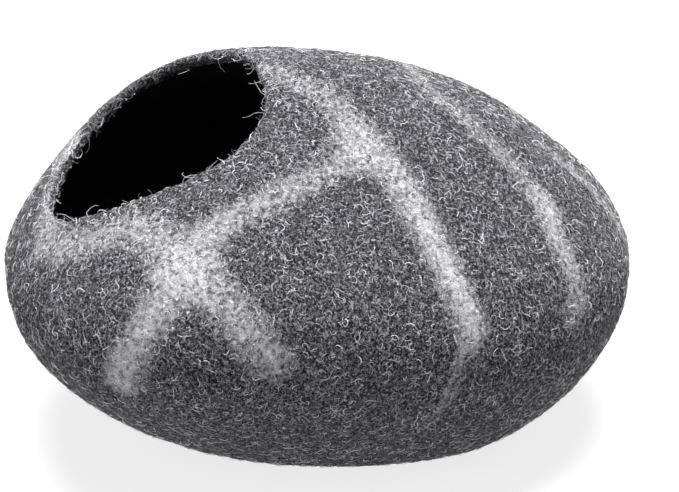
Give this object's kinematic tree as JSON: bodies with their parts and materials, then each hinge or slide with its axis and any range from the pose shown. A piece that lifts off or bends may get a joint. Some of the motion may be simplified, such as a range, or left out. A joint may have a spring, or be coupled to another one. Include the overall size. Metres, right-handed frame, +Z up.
{
  "type": "felt cat cave",
  "caption": "Hollow pebble of thick wool felt with a mouth high on its front, for a cat to creep into and sleep in.",
  "frame": {"origin": "on the floor, under the middle of the cave's box", "axes": "+Z up; -Y towards the mouth, +Y towards the rounded back; +X to the side seen in the picture"},
  "size_m": [0.4426, 0.4852, 0.2784],
  "materials": {
    "wool_felt": "matte heather grey wool felt with a fuzz of loose fibres"
  },
  "bodies": {
    "root": {"felt_cave": "wool_felt"}
  },
  "joints": []
}
